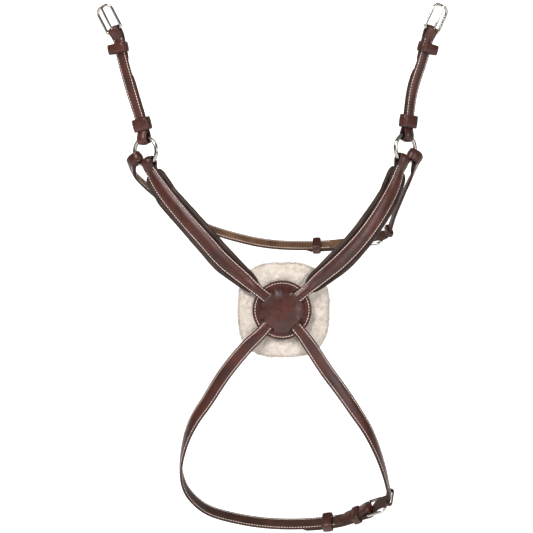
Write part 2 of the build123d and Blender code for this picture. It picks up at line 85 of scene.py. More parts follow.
# ---- details of the finish ----
SECTION_STEP = 1.6        # spacing of cross sections
STITCH_PITCH = 2.9
STITCH_LENGTH = 2.35
STITCH_THICK = 0.62
STITCH_INSET = 1.9        # from the edge of a strap
SKIVE_LENGTH = 13.0       # a turned-back end is pared thin over this length
SKIVED = 0.3
SKIVED_TIP = (7.0, "skived")
SPREAD_LENGTH = 13.0      # a folded strap spreads to its bar or ring over this length
BILLET_SPREAD = 16.0
SEAM_END = 9.0            # stitching stops this far from a bend
LINING_START = 22.0       # bare strap at the rosette end of a lining
LINING_END = 9.0          # and at its ring end
KEEPER_PLACE = 19.0       # upper cheek keeper, from its buckle bar
CREW_LENGTH = 15.4
CREW_PLACE = 0.4          # middle of the slot, past the bar

ROSETTE_RADIUS = 29.6
RIM_FRONT = -3.2
RIM_BACK = -1.1
RIM_SEAM = ROSETTE_RADIUS - 2.6
DOME_FRONT = -9.6
DOME_RADIUS = 23.0
OPENING_RADIUS = 19.2     # the dome's edge over a strap
OPENING_RISE = 7.5        # how far that edge stands out
OPENING_HALF = 17.5       # degrees
OPENING_FADE = 9.0
PAD_SIZE = (93.0, 96.0)
PAD_THICK = 11.0
PAD_FRONT = 2.6
PAD_SHIFT = 1.5
NOSE_RADIUS = 190.0
WOOL_AROUND = 300
WOOL_RINGS = 46
WOOL_FIBRES = 12000

RING_CENTRE = dict(left=(-139.0, 50.0, 161.0), right=(126.0, 47.0, 164.0))
RING_FACE = dict(left=(-0.57, -0.82, 0.0), right=(0.66, -0.75, 0.0))
CHEEK_ANGLE = 98.0
NOSE_ANGLE = -68.0
JOWL_ANGLE = -147.0

# ---- strap routes ----
# Each point is x, y, z, then the way the grain side faces, then the width.
# Routes that end on a ring leave its last points to ring_rows.
CHEEK_LEFT = [
    (-170.4, 50.0, 284.6, -0.57, -0.82, 0.1, CHEEK_WIDTH),
    (-166.2, 50.1, 276.0, -0.57, -0.82, 0.1, CHEEK_WIDTH),
    (-161.5, 50.4, 254.0, -0.57, -0.82, 0.1, CHEEK_WIDTH),
    (-152.5, 50.8, 222.0, -0.57, -0.82, 0.05, CHEEK_WIDTH),
]
CHEEK_RIGHT = [
    (152.4, 47.0, 284.6, 0.62, -0.78, 0.1, CHEEK_WIDTH),
    (148.8, 47.1, 276.2, 0.62, -0.78, 0.1, CHEEK_WIDTH),
    (142.8, 47.4, 254.0, 0.62, -0.78, 0.1, CHEEK_WIDTH),
    (133.4, 48.0, 224.0, 0.64, -0.77, 0.05, CHEEK_WIDTH),
]
NOSE_LEFT = [
    (-9.5, -3.4, 8.0, 0.0, -1.0, 0.0, BAND_AT_ROSETTE),
    (-25.0, -3.5, 20.5, -0.05, -1.0, 0.0, BAND_AT_ROSETTE),
    (-37.0, 0.6, 31.0, -0.2, -1.0, 0.0, 14.0),
    (-59.0, 6.2, 50.0, -0.31, -1.0, 0.0, BAND_WIDTH),
    (-77.0, 12.6, 70.0, -0.4, -1.0, 0.0, BAND_WIDTH),
    (-95.0, 20.7, 90.0, -0.5, -1.0, 0.0, BAND_WIDTH),
    (-110.5, 29.5, 108.5, -0.58, -1.0, 0.0, BAND_WIDTH),
    (-122.5, 37.5, 124.5, -0.65, -1.0, 0.0, 15.5),
]
NOSE_RIGHT = [
    (9.5, -3.4, 8.0, 0.0, -1.0, 0.0, BAND_AT_ROSETTE),
    (25.0, -3.5, 20.5, 0.05, -1.0, 0.0, BAND_AT_ROSETTE),
    (36.0, 0.4, 30.5, 0.2, -1.0, 0.0, 14.0),
    (59.0, 6.2, 50.0, 0.31, -1.0, 0.0, BAND_WIDTH),
    (78.0, 13.0, 70.0, 0.41, -1.0, 0.0, BAND_WIDTH),
    (93.0, 20.3, 90.0, 0.5, -1.0, 0.0, BAND_WIDTH),
    (104.5, 27.7, 108.5, 0.6, -1.0, 0.0, BAND_WIDTH),
    (112.8, 35.6, 124.5, 0.72, -1.0, 0.0, 15.5),
]
CHIN_LEFT = [
    (-9.5, -3.4, -9.5, 0.0, -1.0, 0.0, 12.0),
    (-21.6, -3.5, -23.5, -0.05, -1.0, 0.0, 12.5),
    (-37.0, 2.6, -39.0, -0.22, -0.98, 0.0, 14.0),
    (-57.0, 8.0, -64.0, -0.38, -0.92, 0.0, CHIN_WIDTH),
    (-74.0, 14.0, -91.0, -0.6, -0.8, 0.0, CHIN_WIDTH),
    (-87.0, 21.0, -111.0, -0.78, -0.62, 0.0, CHIN_WIDTH),
    (-96.0, 30.0, -132.0, -0.93, -0.35, 0.0, CHIN_WIDTH),
    (-101.0, 42.0, -156.0, -1.0, -0.05, -0.05, CHIN_WIDTH),
    (-100.0, 54.0, -176.0, -0.97, 0.2, -0.15, CHIN_WIDTH),
    (-92.0, 65.5, -192.5, -0.8, 0.42, -0.42, CHIN_WIDTH),
    (-74.0, 79.0, -208.0, -0.45, 0.6, -0.65, CHIN_WIDTH),
    (-43.0, 91.0, -218.0, -0.18, 0.66, -0.72, CHIN_WIDTH),
    (-11.0, 96.5, -223.0, -0.04, 0.68, -0.73, CHIN_WIDTH),
    (22.0, 96.5, -223.5, 0.04, 0.68, -0.73, CHIN_WIDTH),
    (54.0, 90.5, -220.0, 0.25, 0.66, -0.7, CHIN_WIDTH),
    (74.0, 83.0, -214.0, 0.42, 0.6, -0.68, CHIN_WIDTH),
    (89.0, 74.5, -206.5, 0.5, 0.55, -0.67, CHIN_WIDTH),
]
CHIN_RIGHT = [
    (9.0, -4.6, -10.8, 0.0, -1.0, 0.0, 12.0),
    (20.4, -4.7, -24.6, 0.05, -1.0, 0.0, 12.5),
    (31.0, 0.4, -40.0, 0.2, -0.98, 0.0, 14.0),
    (44.0, 5.2, -60.0, 0.33, -0.93, 0.0, CHIN_WIDTH),
    (59.0, 9.5, -80.5, 0.46, -0.88, 0.0, CHIN_WIDTH),
    (73.0, 14.0, -101.0, 0.6, -0.8, 0.0, CHIN_WIDTH),
    (86.0, 20.0, -121.0, 0.78, -0.62, 0.0, CHIN_WIDTH),
    (96.0, 27.5, -142.0, 0.9, -0.4, 0.0, CHIN_WIDTH),
    (103.5, 36.0, -163.0, 0.97, -0.2, -0.05, CHIN_WIDTH),
    (107.6, 45.5, -178.5, 0.97, 0.05, -0.2, CHIN_WIDTH),
    (110.4, 55.5, -190.5, 0.88, 0.3, -0.35, CHIN_WIDTH),
]
JOWL_LEFT = [
    (-151.5, 73.0, 140.5, -0.93, 0.0, -0.33, JOWL_WIDTH),
    (-142.5, 83.0, 130.5, -0.9, 0.2, -0.38, JOWL_WIDTH),
    (-129.5, 92.0, 119.5, -0.78, 0.4, -0.47, JOWL_WIDTH),
    (-116.0, 101.0, 109.5, -0.62, 0.52, -0.58, JOWL_WIDTH),
    (-98.0, 110.5, 95.5, -0.42, 0.6, -0.67, JOWL_WIDTH),
    (-73.0, 120.0, 83.0, -0.25, 0.66, -0.7, JOWL_WIDTH),
    (-43.0, 128.0, 74.0, -0.12, 0.7, -0.71, JOWL_WIDTH),
    (-16.0, 133.0, 68.5, -0.04, 0.71, -0.71, JOWL_WIDTH),
    (10.0, 135.0, 66.5, 0.0, 0.71, -0.71, JOWL_WIDTH),
    (37.0, 133.5, 66.5, 0.1, 0.7, -0.71, JOWL_WIDTH),
    (63.0, 127.5, 68.5, 0.25, 0.67, -0.7, JOWL_WIDTH),
    (86.0, 117.0, 72.5, 0.42, 0.6, -0.68, JOWL_WIDTH),
]
JOWL_RIGHT = [
    (134.8, 74.0, 138.5, 0.93, 0.0, -0.33, JOWL_WIDTH),
    (128.5, 80.0, 124.5, 0.93, 0.15, -0.35, JOWL_WIDTH),
    (122.5, 86.5, 110.3, 0.88, 0.22, -0.4, JOWL_WIDTH),
    (117.0, 94.5, 96.0, 0.8, 0.3, -0.45, JOWL_WIDTH),
    (112.8, 102.3, 82.3, 0.64, 0.45, -0.6, JOWL_WIDTH),
]



# ---- routes and stations ----
def across(v, along):
    """The part of v square to a unit vector."""
    return (v - along * v.dot(along)).normalized()


def mix(a, b, share):
    return a + (b - a) * share


def ease(x):
    x = min(max(x, 0.0), 1.0)
    return x * x * (3 - 2 * x)


def spline_row(rows, i, t):
    """A smooth value between rows i and i + 1 (Catmull-Rom)."""
    before = rows[max(i - 1, 0)]
    after = rows[min(i + 2, len(rows) - 1)]
    value = []
    for p0, p1, p2, p3 in zip(before, rows[i], rows[i + 1], after):
        bend = 2 * p0 - 5 * p1 + 4 * p2 - p3
        twist = 3 * p1 - p0 - 3 * p2 + p3
        value.append(0.5 * (2 * p1 + (p2 - p0) * t + bend * t * t + twist * t ** 3))
    return value


def lay(rows, step=SECTION_STEP):
    """Stations evenly spaced along a route: place, along, out, width."""
    fine = []
    for i in range(len(rows) - 1):
        for k in range(20):
            fine.append(spline_row(rows, i, k / 20))
    fine.append(list(rows[-1]))
    places = [Vector(row[:3]) for row in fine]
    run = [0.0]
    for a, b in zip(places, places[1:]):
        run.append(run[-1] + (b - a).length)
    count = max(2, round(run[-1] / step))
    stations = []
    k = 0
    for n in range(count + 1):
        goal = run[-1] * n / count
        while k < len(run) - 2 and run[k + 1] < goal:
            k += 1
        share = (goal - run[k]) / (run[k + 1] - run[k])
        row = [mix(a, b, share) for a, b in zip(fine[k], fine[k + 1])]
        along = (places[k + 1] - places[k]).normalized()
        stations.append([Vector(row[:3]), along, across(Vector(row[3:6]), along), row[6]])
    for n in range(1, count):
        along = (stations[n + 1][0] - stations[n - 1][0]).normalized()
        stations[n][1] = along
        stations[n][2] = across(stations[n][2], along)
    return stations


def reach(stations):
    run = [0.0]
    for a, b in zip(stations, stations[1:]):
        run.append(run[-1] + (b[0] - a[0]).length)
    return run


def at(stations, distance):
    """The station at a distance from the start (negative: from the end)."""
    run = reach(stations)
    goal = distance if distance >= 0 else run[-1] + distance
    k = 0
    while k < len(run) - 2 and run[k + 1] < goal:
        k += 1
    share = (goal - run[k]) / (run[k + 1] - run[k])
    a, b = stations[k], stations[k + 1]
    along = mix(a[1], b[1], share).normalized()
    return [mix(a[0], b[0], share), along, across(mix(a[2], b[2], share), along), mix(a[3], b[3], share)]


def ring_rows(side, angle, width, leads):
    """Route rows from a ring outwards: the seat on its wire, then each lead away."""
    centre = Vector(RING_CENTRE[side])
    face = Vector(RING_FACE[side]).normalized()
    inner = face.cross(Vector((0, 0, 1))) * (-1 if side == "left" else 1)
    turn_angle = math.radians(angle)
    radial = inner * math.cos(turn_angle) + Vector((0, 0, math.sin(turn_angle)))
    seat_radius = math.sqrt(RING_RADIUS ** 2 - (width / 2) ** 2)
    rows = []
    for lead in (0.0,) + leads:
        spot = centre + radial * (seat_radius + lead)
        rows.append((*spot, *face, width))
    return rows


def layer(stations, offset):
    """Rows (place, across direction, width) of one layer, offset outwards."""
    run = reach(stations)
    rows = []
    for (place, along, out, width), s in zip(stations, run):
        rows.append((place + out * offset(s, run[-1] - s), out.cross(along), width))
    return rows


def turn(station, radius, end):
    """Half a turn of leather round a bar at a station, from out to in."""
    place, along, out, width = station
    rows = []
    steps = 14
    for k in range(1, steps):
        angle = math.pi * k / steps
        spot = place + out * (radius * math.cos(angle)) + along * (end * radius * math.sin(angle))
        rows.append((spot, out.cross(along), width))
    return rows


def folded_rows(stations, start=None, end=None):
    """Rows of a strap whose ends turn round a bar and lie back under it."""
    def lift(s, rest):
        value = FOLD
        if start:
            value = max(value, mix(FOLD, start[0], 1 - ease(s / SPREAD_LENGTH)))
        if end:
            value = max(value, mix(FOLD, end[0], 1 - ease(rest / SPREAD_LENGTH)))
        return value

    rows = layer(stations, lift)
    back = layer(stations, lambda s, rest: -lift(s, rest))
    run = reach(stations)
    if end:
        rows += turn(stations[-1], end[0], 1)
        rows += [row for row, s in zip(back, run) if run[-1] - s <= end[1]][::-1]
    if start:
        first = [row for row, s in zip(back, run) if s <= start[1]][::-1]
        rows = first + turn(stations[0], start[0], -1)[::-1] + rows
    return rows


def local_row(station, rise, ahead):
    place, along, out, width = station
    spot = place + out * rise + along * ahead
    return (*spot, *out, width)


def billet_stations(own, strap, tail):
    """A billet's way down, through the buckle at the strap's end, and its tail."""
    end = strap[-1]
    rows = list(own)
    for rise, ahead in ((-0.4, 26.0), (-0.4, 19.0), (0.1, 12.5), (2.9, 6.8), (OVER_BAR, 1.0)):
        rows.append(local_row(end, rise, ahead))
    for back in range(8, int(tail), 12):
        rise = mix(OVER_BAR, TAIL, ease(back / 14.0))
        rows.append(local_row(at(strap, -back), rise, 0.0))
    return lay(rows, SECTION_STEP)


# ---- mesh building ----
class Mesh:
    """Gathers vertices and faces, in millimetres, for one object."""

    def __init__(self):
        self.points = []
        self.faces = []
        self.marks = []

    def grid(self, rings, marks, closed_ring=True, closed_way=False):
        """Joins rings of points; marks gives the material of each column."""
        base = len(self.points)
        size = len(rings[0])
        for ring in rings:
            self.points.extend(ring)
        columns = size if closed_ring else size - 1
        ways = len(rings) if closed_way else len(rings) - 1
        for i in range(ways):
            here = base + i * size
            there = base + (i + 1) % len(rings) * size
            for j in range(columns):
                k = (j + 1) % size
                self.faces.append((here + j, here + k, there + k, there + j))
                self.marks.append(marks[j] if isinstance(marks, (list, tuple)) else marks)
        return base

    def tube(self, rings, marks, end_mark):
        """A grid of rings closed at both ends."""
        base = self.grid(rings, marks)
        size = len(rings[0])
        self.cap(range(base + size - 1, base - 1, -1), end_mark)
        last = base + size * (len(rings) - 1)
        self.cap(range(last, last + size), end_mark)

    def cap(self, indices, mark):
        self.faces.append(tuple(indices))
        self.marks.append(mark)

    def build(self, name, materials):
        data = bpy.data.meshes.new(name)
        data.from_pydata([tuple(p * MM for p in point) for point in self.points], [], self.faces)
        for material in materials:
            data.materials.append(material)
        data.polygons.foreach_set("material_index", self.marks)
        data.polygons.foreach_set("use_smooth", [True] * len(self.faces))
        data.update()
        obj = bpy.data.objects.new(name, data)
        bpy.context.scene.collection.objects.link(obj)
        return obj


GRAIN, EDGE, FLESH, THREAD = range(4)


def strap_profile(width, thick, crown, crease):
    """A strap's cross section: (over the width, outwards), and the face after each point."""
    half = width / 2
    top = thick / 2
    left = [(0.0, 0.0, EDGE), (0.1, top - 0.55, EDGE), (0.4, top - 0.16, GRAIN), (0.8, top, GRAIN),
            (1.1, top - crease, GRAIN), (1.4, top, GRAIN), (STITCH_INSET, top - 0.12, GRAIN),
            (STITCH_INSET + 0.5, top + crown * 0.12, GRAIN)]
    points = [(d - half, v, mark) for d, v, mark in left]
    inner = half - STITCH_INSET - 0.5
    for k in range(1, 6):
        x = -inner + 2 * inner * k / 6
        points.append((x, top + crown * (1 - (x / inner) ** 2) ** 0.7 * 0.9 + crown * 0.1, GRAIN))
    for i in range(len(left) - 1, -1, -1):
        d, v, mark = left[i]
        ahead = left[i - 1][2] if i else EDGE
        points.append((half - d, v, ahead))
    points.append((half - 0.1, -top + 0.5, EDGE))
    points.append((half - 0.45, -top, FLESH))
    for share in (0.5, 0.0, -0.5):
        points.append((half * share, -top, FLESH))
    points.append((-half + 0.45, -top, EDGE))
    points.append((-half + 0.1, -top + 0.5, EDGE))
    return points


def framed(rows):
    """Adds the outward and forward directions to each row, with its distance."""
    framed_rows = []
    run = 0.0
    for n, (place, side, width) in enumerate(rows):
        ahead = rows[min(n + 1, len(rows) - 1)][0]
        behind = rows[max(n - 1, 0)][0]
        along = (ahead - behind).normalized()
        side = across(side, along)
        if n:
            run += (place - rows[n - 1][0]).length
        framed_rows.append((place, side, along.cross(side), along, width, run))
    return framed_rows


def tip_share(distance, length, shape):
    """How much of its width a strap keeps near a free end."""
    if distance >= length:
        return 1.0
    x = 1 - distance / length
    if shape == "point":
        return max(0.12, 1 - x ** 1.4)
    return max(0.25, math.sqrt(max(0.0, 1 - x ** 2.2)))


def strap_mesh(mesh, rows, thick, crown=0.5, crease=0.14, start_tip=None, end_tip=None):
    """A strap with creased, rounded edges.  A tip is (length, "point" or "skived")."""
    frames = framed(rows)
    total = frames[-1][5]
    rings = []
    for place, side, out, _, width, run in frames:
        share = 1.0
        if start_tip:
            share = min(share, tip_share(run, *start_tip))
        if end_tip:
            share = min(share, tip_share(total - run, *end_tip))
        full = strap_profile(width, thick, crown, crease)
        wear = 0.12 * noise.noise(place * 0.045)
        thin = 1.0
        for tip, distance in ((start_tip, run), (end_tip, total - run)):
            if tip and tip[1] == "skived":
                thin = min(thin, mix(SKIVED, 1.0, ease(distance / SKIVE_LENGTH)))
        ring = []
        for x, v, mark in full:
            ring.append(place + side * (x * share + wear) + out * ((v + thick / 2) * thin - thick / 2))
        rings.append(ring)
        marks = [mark for x, v, mark in full]
    mesh.tube(rings, marks, EDGE)
    return frames


def stitch(mesh, centre, along, out):
    """One stitch: a rounded dash of thread that dives into the leather at both ends."""
    side = along.cross(out)
    rings = []
    for share, size, sink in ((-0.5, 0.5, 0.42), (-0.34, 0.95, 0.12), (0.0, 1.05, 0.0),
                              (0.34, 0.95, 0.12), (0.5, 0.5, 0.42)):
        middle = centre + along * (share * STITCH_LENGTH) - out * (sink * STITCH_THICK)
        ring = []
        for k in range(6):
            angle = math.tau * k / 6
            round_it = side * math.cos(angle) + out * math.sin(angle)
            ring.append(middle + round_it * (STITCH_THICK * size / 2))
        rings.append(ring)
    mesh.tube(rings, THREAD, THREAD)


def stitch_rows(mesh, frames, rise, first, last, faces=(1,), inset=STITCH_INSET):
    """Rows of stitches along both edges, between two distances."""
    n = 0
    goal = first
    while goal < last:
        while n < len(frames) - 2 and frames[n + 1][5] < goal:
            n += 1
        a, b = frames[n], frames[n + 1]
        share = (goal - a[5]) / max(b[5] - a[5], 1e-6)
        place, side, out, along = [mix(a[k], b[k], share) for k in range(4)]
        width = mix(a[4], b[4], share)
        for edge in (-1, 1):
            for face in faces:
                jitter = noise.noise(Vector((goal * 1.7, edge * 9.0, face * 5.0))) * 0.09
                spot = place + side * (edge * (width / 2 - inset) + jitter) + out * (face * rise)
                stitch(mesh, spot, along.normalized(), out * face)
        goal += STITCH_PITCH


def keeper_mesh(name, station, low, high, body, play=0.5, length=8.0, thick=1.5, slack=0.0):
    """A leather loop round a strap, from low to high in its thickness."""
    place, along, out, width = station
    side = out.cross(along)
    place = place + side * (slack / 2)
    half = width / 2 + play + abs(slack) / 2
    height = (high - low) / 2
    corner = min(1.6, height * 0.9)
    path = []
    for cx, cy, start in ((half - corner, height - corner, 0), (-half + corner, height - corner, 90),
                          (-half + corner, -height + corner, 180), (half - corner, -height + corner, 270)):
        for k in range(7):
            angle = math.radians(start + 15 * k)
            path.append((Vector((cx, cy)) + Vector((math.cos(angle), math.sin(angle))) * corner,
                         Vector((math.cos(angle), math.sin(angle)))))
    dense = []
    for (p, n), (q, _) in zip(path, path[1:] + path[:1]):
        dense.append((p, n))
        if (q - p).length > 2.0:
            for share in (0.25, 0.5, 0.75):
                dense.append((mix(p, q, share), n))
    middle = (low + high) / 2
    z = length / 2
    section = [(-z + 0.3, 0.0, FLESH), (-z, 0.4, EDGE), (-z + 0.05, thick - 0.45, EDGE),
               (-z + 0.45, thick - 0.05, GRAIN), (-z + 1.0, thick - 0.02, GRAIN),
               (-z + 1.25, thick - 0.14, GRAIN), (-z + 1.55, thick + 0.05, GRAIN),
               (-z * 0.35, thick + 0.22, GRAIN), (z * 0.35, thick + 0.22, GRAIN),
               (z - 1.55, thick + 0.05, GRAIN), (z - 1.25, thick - 0.14, GRAIN),
               (z - 1.0, thick - 0.02, GRAIN), (z - 0.45, thick - 0.05, EDGE),
               (z - 0.05, thick - 0.45, EDGE), (z, 0.4, EDGE), (z - 0.3, 0.0, FLESH)]
    mesh = Mesh()
    rings = []
    for p, n in dense:
        ring = []
        for ahead, rise, mark in section:
            flat = p + n * rise
            ring.append(place + side * flat.x + out * (flat.y + middle) + along * ahead)
        rings.append(ring)
    mesh.grid(rings, [mark for _, _, mark in section], closed_way=True)
    obj = mesh.build(name, [KEEPER_GRAIN, EDGE_LEATHER, FLESH_LEATHER])
    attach(obj, body)
    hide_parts(name.replace("loop_", ""))


# ---- materials ----
class Nodes:
    """A short way to wire one material."""

    def __init__(self, name):
        self.material = bpy.data.materials.new(name)
        self.material.use_nodes = True
        self.tree = self.material.node_tree
        self.tree.nodes.clear()
        self.shader = self.add("ShaderNodeBsdfPrincipled")
        self.link(self.shader.outputs[0], self.add("ShaderNodeOutputMaterial").inputs["Surface"])
        self.place = self.add("ShaderNodeTexCoord").outputs["Object"]

    def add(self, kind, **values):
        node = self.tree.nodes.new(kind)
        for key, value in values.items():
            if hasattr(node, key):
                setattr(node, key, value)
            else:
                node.inputs[key.replace("_", " ")].default_value = value
        return node

    def link(self, a, b):
        self.tree.links.new(a, b)

    def noise(self, scale, detail=3.0, roughness=0.55, stretch=None):
        node = self.add("ShaderNodeTexNoise", Scale=scale, Detail=detail, Roughness=roughness)
        self.link(self.stretched(stretch), node.inputs["Vector"])
        return node.outputs["Fac"]

    def stretched(self, stretch):
        if not stretch:
            return self.place
        node = self.add("ShaderNodeMapping")
        node.inputs["Scale"].default_value = stretch
        self.link(self.place, node.inputs["Vector"])
        return node.outputs[0]

    def cells(self, scale, feature="F1"):
        node = self.add("ShaderNodeTexVoronoi", feature=feature, Scale=scale)
        self.link(self.place, node.inputs["Vector"])
        return node.outputs["Distance"]

    def ramp(self, value, stops):
        node = self.add("ShaderNodeValToRGB")
        band = node.color_ramp
        while len(band.elements) < len(stops):
            band.elements.new(0.5)
        for element, (position, colour) in zip(band.elements, stops):
            element.position = position
            element.color = (*colour, 1.0) if len(colour) == 3 else colour
        self.link(value, node.inputs["Fac"])
        return node.outputs["Color"]

    def fit(self, value, low, high, start=0.0, end=1.0):
        node = self.add("ShaderNodeMapRange")
        for key, number in (("From Min", start), ("From Max", end), ("To Min", low), ("To Max", high)):
            node.inputs[key].default_value = number
        self.link(value, node.inputs["Value"])
        return node.outputs[0]

    def blend(self, share, a, b, how="MIX"):
        node = self.add("ShaderNodeMix", data_type="RGBA", blend_type=how)
        if isinstance(share, float):
            node.inputs[0].default_value = share
        else:
            self.link(share, node.inputs[0])
        for value, socket in ((a, node.inputs[6]), (b, node.inputs[7])):
            if isinstance(value, tuple):
                socket.default_value = (*value, 1.0)
            else:
                self.link(value, socket)
        return node.outputs[2]

    def bump(self, *layers):
        """Stacks bump layers, each (height, distance in metres, strength)."""
        normal = None
        for height, distance, strength in layers:
            node = self.add("ShaderNodeBump", Distance=distance, Strength=strength)
            self.link(height, node.inputs["Height"])
            if normal:
                self.link(normal, node.inputs["Normal"])
            normal = node.outputs[0]
        self.link(normal, self.shader.inputs["Normal"])

    def set(self, **values):
        for key, value in values.items():
            socket = self.shader.inputs[key.replace("_", " ")]
            if isinstance(value, tuple):
                socket.default_value = (*value, 1.0) if len(socket.default_value) == 4 else value
            elif isinstance(value, (int, float)):
                socket.default_value = value
            else:
                self.link(value, socket)


def grain_leather(name, deep, light, sheen_rough, grain=1500.0, relief=0.00006):
    """Finished bridle leather: clouded dye, fine pores, hair-thin creases, and a waxed face."""
    m = Nodes(name)
    cloud = m.noise(38.0, 4.0, 0.6)
    mottle = m.noise(260.0, 3.0, 0.6)
    dye = m.ramp(cloud, [(0.32, deep), (0.68, light)])
    tone = m.ramp(mottle, [(0.3, (0.78, 0.76, 0.76)), (0.7, (1.12, 1.1, 1.1))])
    pores = m.cells(grain)
    pits = m.ramp(pores, [(0.0, (0.62, 0.6, 0.6)), (0.32, (1.0, 1.0, 1.0))])
    m.set(Base_Color=m.blend(0.55, m.blend(1.0, dye, tone, "MULTIPLY"), pits, "MULTIPLY"))
    scuffs = m.noise(120.0, 5.0, 0.7, (1.0, 1.0, 4.0))
    m.set(Roughness=m.fit(scuffs, sheen_rough - 0.09, sheen_rough + 0.13, 0.3, 0.7), Specular_IOR_Level=0.33)
    m.bump((pores, relief, 0.7), (m.noise(700.0, 4.0, 0.65), 0.0002, 0.5), (m.noise(90.0, 2.0), 0.0005, 0.3))
    return m.material


def lining_leather(name):
    """Soft padded leather: matt, dark, with small wrinkles."""
    m = Nodes(name)
    cloud = m.noise(55.0, 4.0, 0.6)
    dye = m.ramp(cloud, [(0.3, (0.014, 0.0078, 0.0062)), (0.72, (0.04, 0.0235, 0.0185))])
    pebbles = m.cells(900.0)
    hollows = m.ramp(pebbles, [(0.0, (0.55, 0.55, 0.55)), (0.4, (1.1, 1.1, 1.1))])
    m.set(Base_Color=m.blend(0.5, dye, hollows, "MULTIPLY"))
    m.set(Roughness=m.fit(m.noise(160.0, 3.0), 0.42, 0.62, 0.3, 0.7), Specular_IOR_Level=0.16)
    wrinkles = m.noise(240.0, 4.0, 0.7, (1.0, 1.0, 2.2))
    m.bump((pebbles, 0.00012, 0.55), (wrinkles, 0.0005, 0.35))
    return m.material


def edge_leather(name):
    """A cut edge, dyed dark and rubbed smooth, with the layers faintly showing."""
    m = Nodes(name)
    fibre = m.noise(420.0, 5.0, 0.7, (0.4, 0.4, 0.4))
    m.set(Base_Color=m.ramp(fibre, [(0.3, (0.016, 0.0075, 0.0055)), (0.7, (0.047, 0.021, 0.015))]))
    m.set(Roughness=m.fit(fibre, 0.42, 0.62, 0.3, 0.7), Specular_IOR_Level=0.15)
    m.bump((m.noise(1600.0, 3.0, 0.6), 0.0001, 0.4))
    return m.material


def flesh_leather(name, deep, light):
    """The inner face of a strap: dyed, rubbed down, with short fibres and darker rub marks."""
    m = Nodes(name)
    cloud = m.noise(70.0, 5.0, 0.65)
    fibre = m.noise(1300.0, 4.0, 0.7, (0.35, 1.0, 1.0))
    dye = m.ramp(cloud, [(0.28, deep), (0.7, light)])
    nap = m.ramp(fibre, [(0.3, (0.6, 0.58, 0.55)), (0.7, (1.18, 1.15, 1.1))])
    m.set(Base_Color=m.blend(0.6, dye, nap, "MULTIPLY"))
    m.set(Roughness=m.fit(cloud, 0.5, 0.7, 0.3, 0.7), Specular_IOR_Level=0.2)
    m.bump((fibre, 0.00016, 0.5), (m.noise(300.0, 3.0), 0.0003, 0.3))
    return m.material


def waxed_thread(name):
    """Waxed linen thread: cream plies, slightly soiled."""
    m = Nodes(name)
    plies = m.add("ShaderNodeTexWave", wave_type="BANDS", bands_direction="DIAGONAL", Scale=1400.0,
                  Distortion=2.0)
    m.link(m.place, plies.inputs["Vector"])
    soil = m.noise(180.0, 3.0)
    m.set(Base_Color=m.ramp(soil, [(0.25, (0.45, 0.33, 0.28)), (0.55, (0.76, 0.62, 0.55))]), Roughness=0.6,
          Sheen_Weight=0.2)
    m.bump((plies.outputs["Fac"], 0.00012, 0.6))
    return m.material


def fleece(name):
    """Clipped sheepskin: cream wool in small curls, warmer in the hollows between them and darkened there by
    painted shade.
    """
    m = Nodes(name)
    curls = m.cells(430.0)
    clumps = m.noise(150.0, 5.0, 0.7)
    warm = m.ramp(clumps, [(0.3, (0.4, 0.34, 0.295)), (0.62, (0.56, 0.51, 0.462))])
    # painted shade: the wool turns darker and warmer away from each curl's middle, in the hollows between
    # curls
    shade = m.ramp(curls, [(0.0, (1.05, 1.04, 1.02)), (0.5, (0.78, 0.72, 0.66))])
    m.set(Base_Color=m.blend(0.35, warm, shade, "MULTIPLY"))
    m.set(Roughness=0.95, Specular_IOR_Level=0.15, Sheen_Weight=0.22, Sheen_Roughness=0.45)
    m.set(Subsurface_Weight=0.12, Subsurface_Scale=0.003)
    m.bump((m.noise(1500.0, 3.0, 0.7), 0.0004, 0.6), (curls, 0.0009, 0.5))
    return m.material


def steel(name):
    """Polished stainless steel with hairline scratches and faint finger marks."""
    m = Nodes(name)
    scratches = m.noise(900.0, 6.0, 0.75, (1.0, 1.0, 0.12))
    smears = m.noise(60.0, 3.0)
    m.set(Base_Color=m.ramp(smears, [(0.3, (0.26, 0.235, 0.215)), (0.7, (0.42, 0.385, 0.355))]), Metallic=1.0)
    m.set(Roughness=m.fit(scratches, 0.12, 0.27, 0.35, 0.7))
    m.bump((scratches, 0.00003, 0.35))
    return m.material


STRAP_GRAIN = grain_leather("bridle_leather", (0.0205, 0.0039, 0.0021), (0.06, 0.0128, 0.0066), 0.38)
KEEPER_GRAIN = grain_leather("keeper_leather", (0.0205, 0.0043, 0.0024), (0.057, 0.0132, 0.0072), 0.36)
ROSETTE_GRAIN = grain_leather("rosette_leather", (0.023, 0.0058, 0.004), (0.056, 0.0152, 0.0102), 0.32)
LINING = lining_leather("padded_leather")
EDGE_LEATHER = edge_leather("burnished_edge")
FLESH_LEATHER = flesh_leather("inner_leather", (0.016, 0.0062, 0.004), (0.044, 0.0182, 0.0112))
TAN_FLESH = flesh_leather("tan_inner_leather", (0.058, 0.0275, 0.0155), (0.15, 0.081, 0.047))
THREAD_CREAM = waxed_thread("waxed_thread")
WOOL = fleece("sheepskin_wool")
STEEL = steel("polished_steel")

# ---- straps ----
cheeks = {}
noses = {}
jowls = {}
for side, cheek, nose, jowl in (("left", CHEEK_LEFT, NOSE_LEFT, JOWL_LEFT),
                                ("right", CHEEK_RIGHT, NOSE_RIGHT, JOWL_RIGHT)):
    cheeks[side] = lay(cheek + ring_rows(side, CHEEK_ANGLE, STRAP_AT_RING, (14.0,))[::-1])
    noses[side] = lay(nose + ring_rows(side, NOSE_ANGLE, BAND_AT_RING, (10.0,))[::-1])
    jowls[side] = ring_rows(side, JOWL_ANGLE, STRAP_AT_RING, (9.0,)) + jowl
jowl_way = lay(jowls["left"])
jowl_billet_way = lay(jowls["right"])
chin_way = lay(CHIN_LEFT)
chin_billet_way = lay(CHIN_RIGHT)

